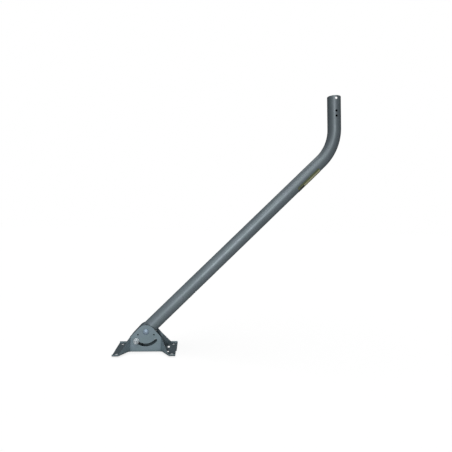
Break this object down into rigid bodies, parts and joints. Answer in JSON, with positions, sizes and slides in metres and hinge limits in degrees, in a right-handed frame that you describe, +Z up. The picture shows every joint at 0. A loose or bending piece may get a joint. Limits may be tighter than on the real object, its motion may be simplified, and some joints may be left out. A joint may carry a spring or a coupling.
{
  "type": "tilting antenna mast",
  "caption": "Bent round steel mast whose foot end tilts between the ears of a stamped steel foot and is clamped by a bolt in a curved slot.",
  "frame": {"origin": "on the mounting plane, under the middle of the whole part's bounding box at rest; the tilt axis stands above x = -0.2505, midway between the two ears", "axes": "+X the way the mast leans at rest, +Y along the pivot bolt from its head to its nut, +Z up"},
  "size_m": [0.6843, 0.141, 0.7979],
  "materials": {
    "mast_paint": "blue-grey satin powder coat",
    "foot_paint": "blue-grey satin powder coat",
    "zinc": "bright zinc plate",
    "blued_zinc": "blue-white zinc plate",
    "spring_steel": "plain plated spring steel",
    "label_film": "printed vinyl film, blank"
  },
  "bodies": {
    "foot": {"foot_front_half": "foot_paint", "foot_rear_half": "foot_paint", "pivot_bolt": "blued_zinc", "pivot_washer": "zinc", "pivot_lock_washer": "spring_steel"},
    "mast": {"mast_tube": "mast_paint", "mast_label": "label_film", "clamp_bolt": "zinc", "clamp_head_washer": "zinc", "clamp_washer": "zinc", "clamp_lock_washer": "spring_steel"},
    "pivot_nut": {"pivot_nut": "zinc"},
    "clamp_nut": {"clamp_nut": "zinc"}
  },
  "joints": [
    {"name": "mast_tilt", "type": "hinge", "parent": "foot", "child": "mast", "pos_m": [-0.2505, 0, 0.0615], "axis": [0, -1, 0], "range_deg": [-4.4, 94.4]},
    {"name": "pivot_nut_turn", "type": "hinge", "parent": "foot", "child": "pivot_nut", "pos_m": [-0.2505, 0.0322, 0.0615], "axis": [0, 1, 0], "continuous": true},
    {"name": "clamp_nut_turn", "type": "hinge", "parent": "mast", "child": "clamp_nut", "pos_m": [-0.27808, -0.0322, 0.03392], "axis": [0, -1, 0], "continuous": true}
  ]
}
